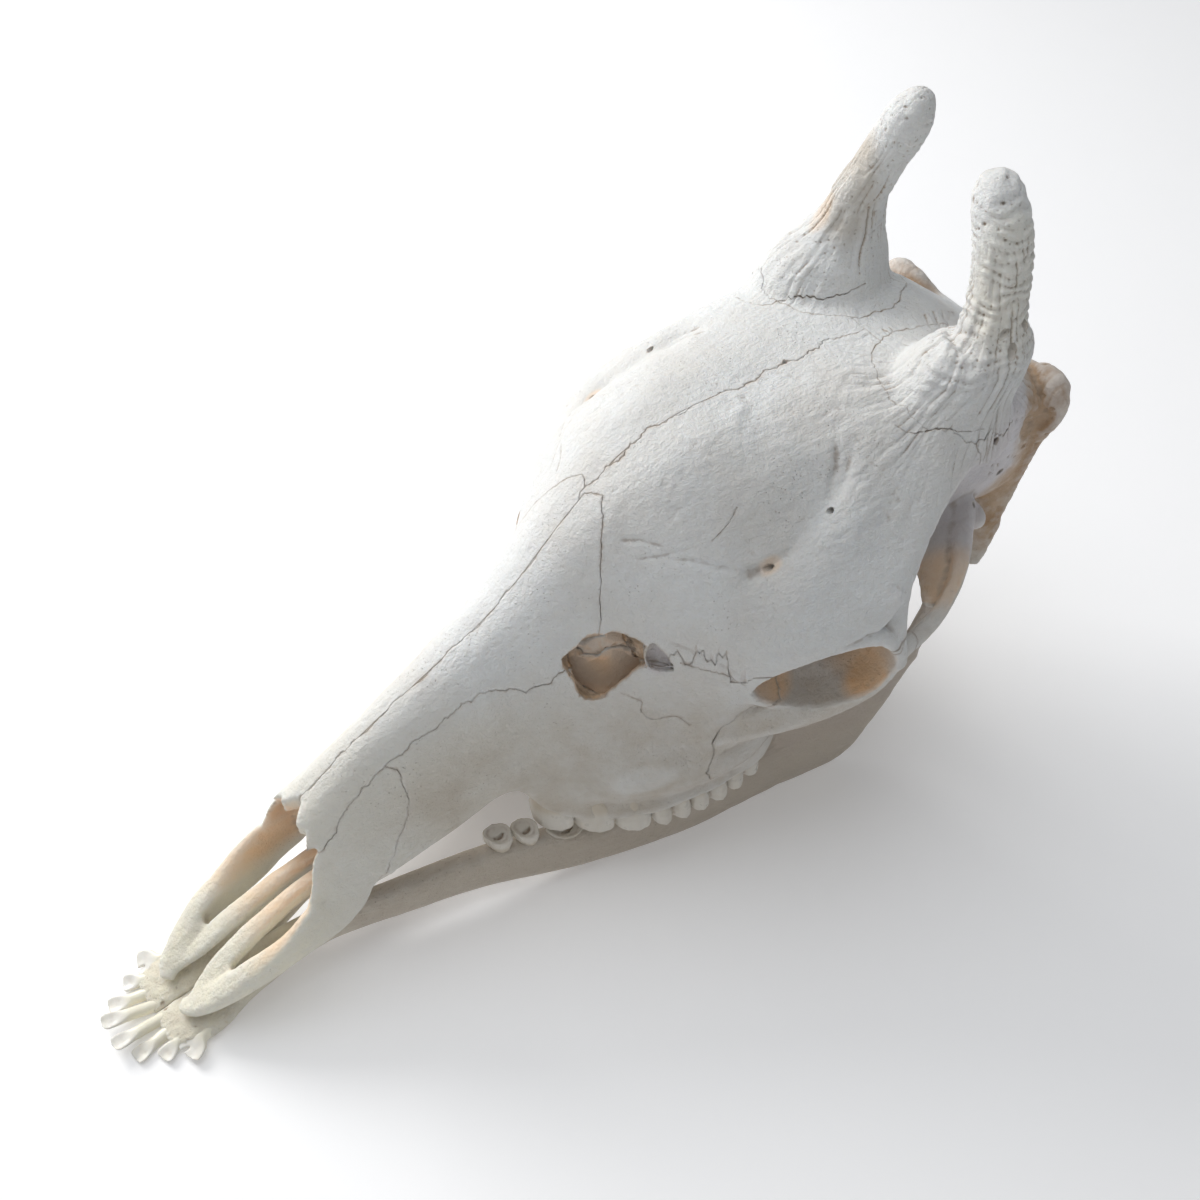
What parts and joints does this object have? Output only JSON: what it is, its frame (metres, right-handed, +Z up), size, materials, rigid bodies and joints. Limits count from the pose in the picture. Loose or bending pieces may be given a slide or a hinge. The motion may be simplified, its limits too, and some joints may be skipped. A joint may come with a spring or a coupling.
{
  "type": "giraffe skull",
  "caption": "Life-size giraffe skull resting on its lower jaw: cranium with two ossicones, orbits, open nose, worn cheek teeth and a jaw with fanned spoon-shaped front teeth.",
  "frame": {"origin": "on the floor, under the middle of the skull's bounding box, with the skull resting on its chin and jaw angles", "axes": "+X towards the animal's left, -Y towards the front teeth, +Z up; +Y is the long axis, from the front teeth to the back of the head"},
  "size_m": [0.2536, 0.6066, 0.385],
  "materials": {
    "bone": "dry, cleaned bone, matt to satin",
    "nasal_bone": "dry, cleaned bone, smooth",
    "cream_bone": "dry bone, cream coloured",
    "jaw_bone": "dry bone, slightly darker, with enamel teeth"
  },
  "bodies": {
    "root": {"braincase": "bone", "frontal_left": "bone", "frontal_right": "bone", "maxilla_left": "bone", "maxilla_right": "bone", "nasal_left": "nasal_bone", "nasal_right": "nasal_bone", "premaxilla_left": "cream_bone", "premaxilla_right": "cream_bone", "zygomatic_left": "bone", "zygomatic_right": "bone", "ossicone_left": "bone", "ossicone_right": "bone", "mandible_left": "jaw_bone", "mandible_right": "jaw_bone"}
  },
  "joints": []
}
